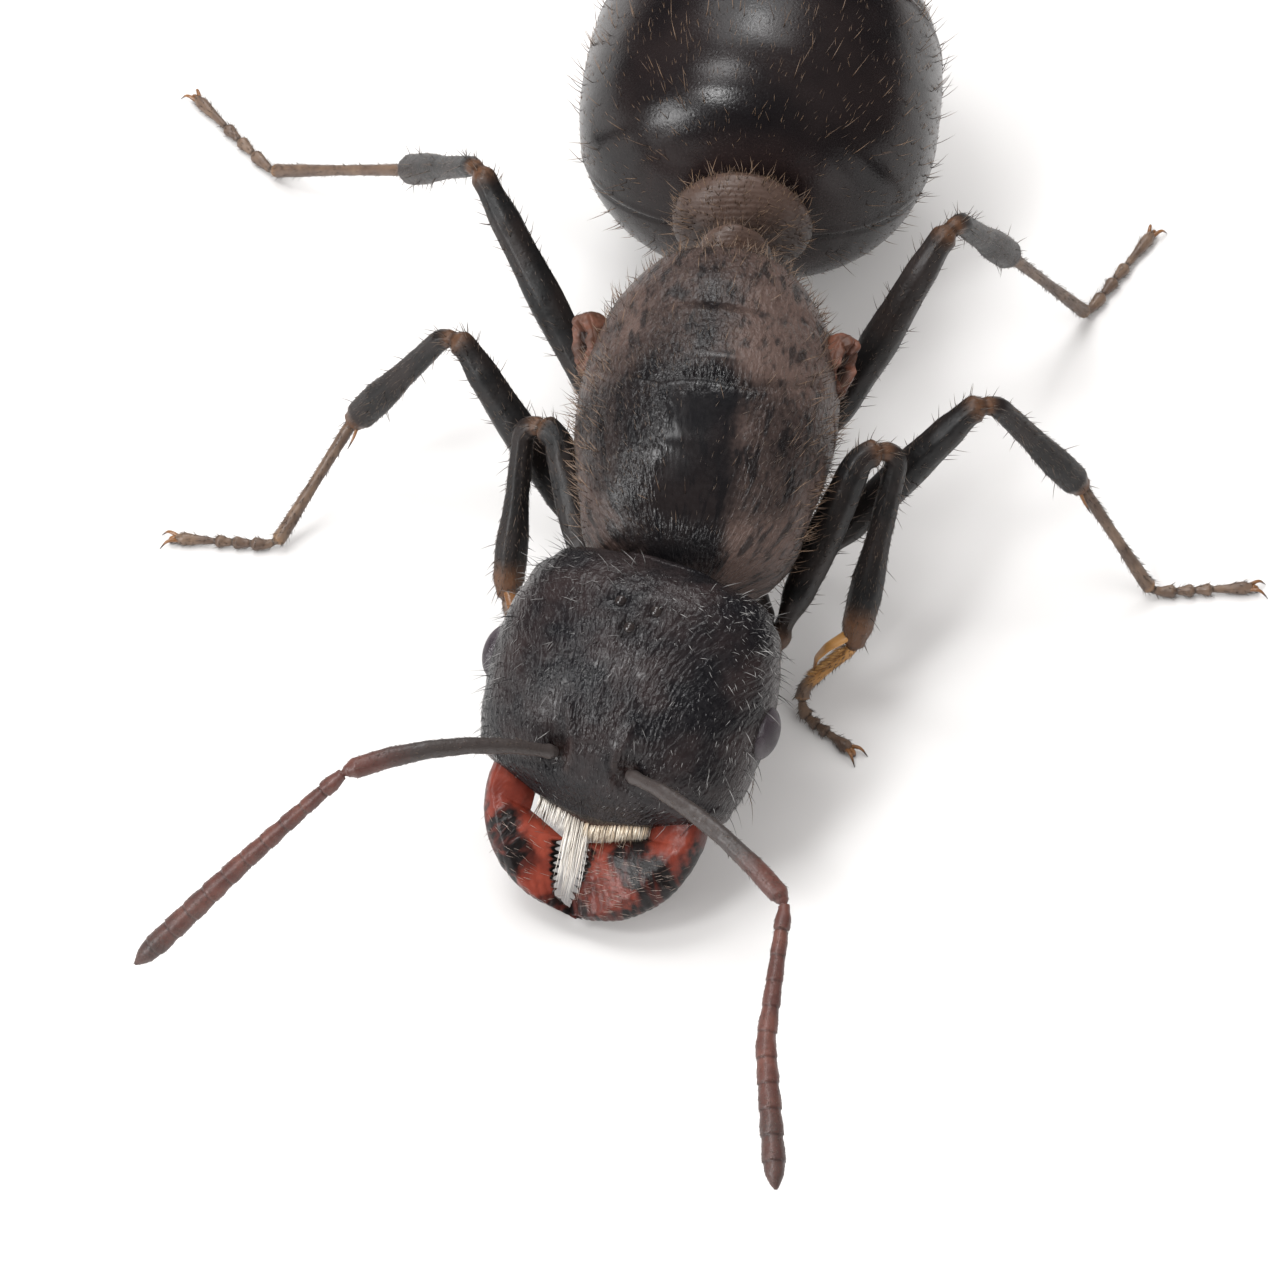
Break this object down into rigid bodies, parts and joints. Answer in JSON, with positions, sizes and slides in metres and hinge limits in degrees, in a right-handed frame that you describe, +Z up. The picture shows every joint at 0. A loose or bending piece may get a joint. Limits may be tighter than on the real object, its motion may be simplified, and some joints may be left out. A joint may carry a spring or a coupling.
{
  "type": "ant",
  "caption": "Museum model of a wingless harvester ant queen, standing with hanging head, curved toothed jaws, elbowed feelers, domed trunk, knotted waist and round hind body.",
  "frame": {"origin": "bottom centre of the whole ant's box, on the floor it stands on", "axes": "+Z up, the ant faces -Y, its left side is +X"},
  "size_m": [0.0148, 0.0196, 0.0047],
  "materials": {
    "head_shell": "black shell, finely ribbed, half gloss, thin pale hairs",
    "eye": "dark purple-grey, fine facets, glossy",
    "mandible": "deep red horn with black-brown patches and black tips, glossy",
    "antenna": "dark red-brown shell with short down",
    "trunk_shell": "black-brown shell, finely ribbed, half gloss, brown hairs",
    "wing_root": "orange-brown torn membrane root",
    "waist": "black-brown shell, finely wrinkled, brown hairs",
    "gaster": "black-brown polished shell",
    "leg": "black shell, glossy, red-brown at the joints",
    "foot": "brown to pale brown shell with bristles"
  },
  "bodies": {
    "root": {"coxa_fore_left": "leg", "coxa_fore_right": "leg", "coxa_hind_left": "leg", "coxa_hind_right": "leg", "coxa_mid_left": "leg", "coxa_mid_right": "leg", "eye_left": "eye", "eye_right": "eye", "femur_fore_left": "leg", "femur_fore_right": "leg", "femur_hind_left": "leg", "femur_hind_right": "leg", "femur_mid_left": "leg", "femur_mid_right": "leg", "flagellum_inner_left": "antenna", "flagellum_inner_right": "antenna", "flagellum_outer_left": "antenna", "flagellum_outer_right": "antenna", "foot_fore_left": "foot", "foot_fore_right": "foot", "foot_hind_left": "foot", "foot_hind_right": "foot", "foot_mid_left": "foot", "foot_mid_right": "foot", "gaster_1": "gaster", "gaster_2": "gaster", "gaster_3": "gaster", "gaster_4": "gaster", "head": "head_shell", "mandible_left": "mandible", "mandible_right": "mandible", "mesothorax": "trunk_shell", "metatarsus_fore_left": "foot", "metatarsus_fore_right": "foot", "metatarsus_hind_left": "foot", "metatarsus_hind_right": "foot", "metatarsus_mid_left": "foot", "metatarsus_mid_right": "foot", "metathorax": "trunk_shell", "mouthparts": "head_shell", "petiole": "waist", "postpetiole": "waist", "propodeum": "trunk_shell", "prothorax": "trunk_shell", "scape_left": "antenna", "scape_right": "antenna", "tibia_fore_left": "leg", "tibia_fore_right": "leg", "tibia_hind_left": "leg", "tibia_hind_right": "leg", "tibia_mid_left": "leg", "tibia_mid_right": "leg", "wing_stub_left": "wing_root", "wing_stub_right": "wing_root"}
  },
  "joints": []
}
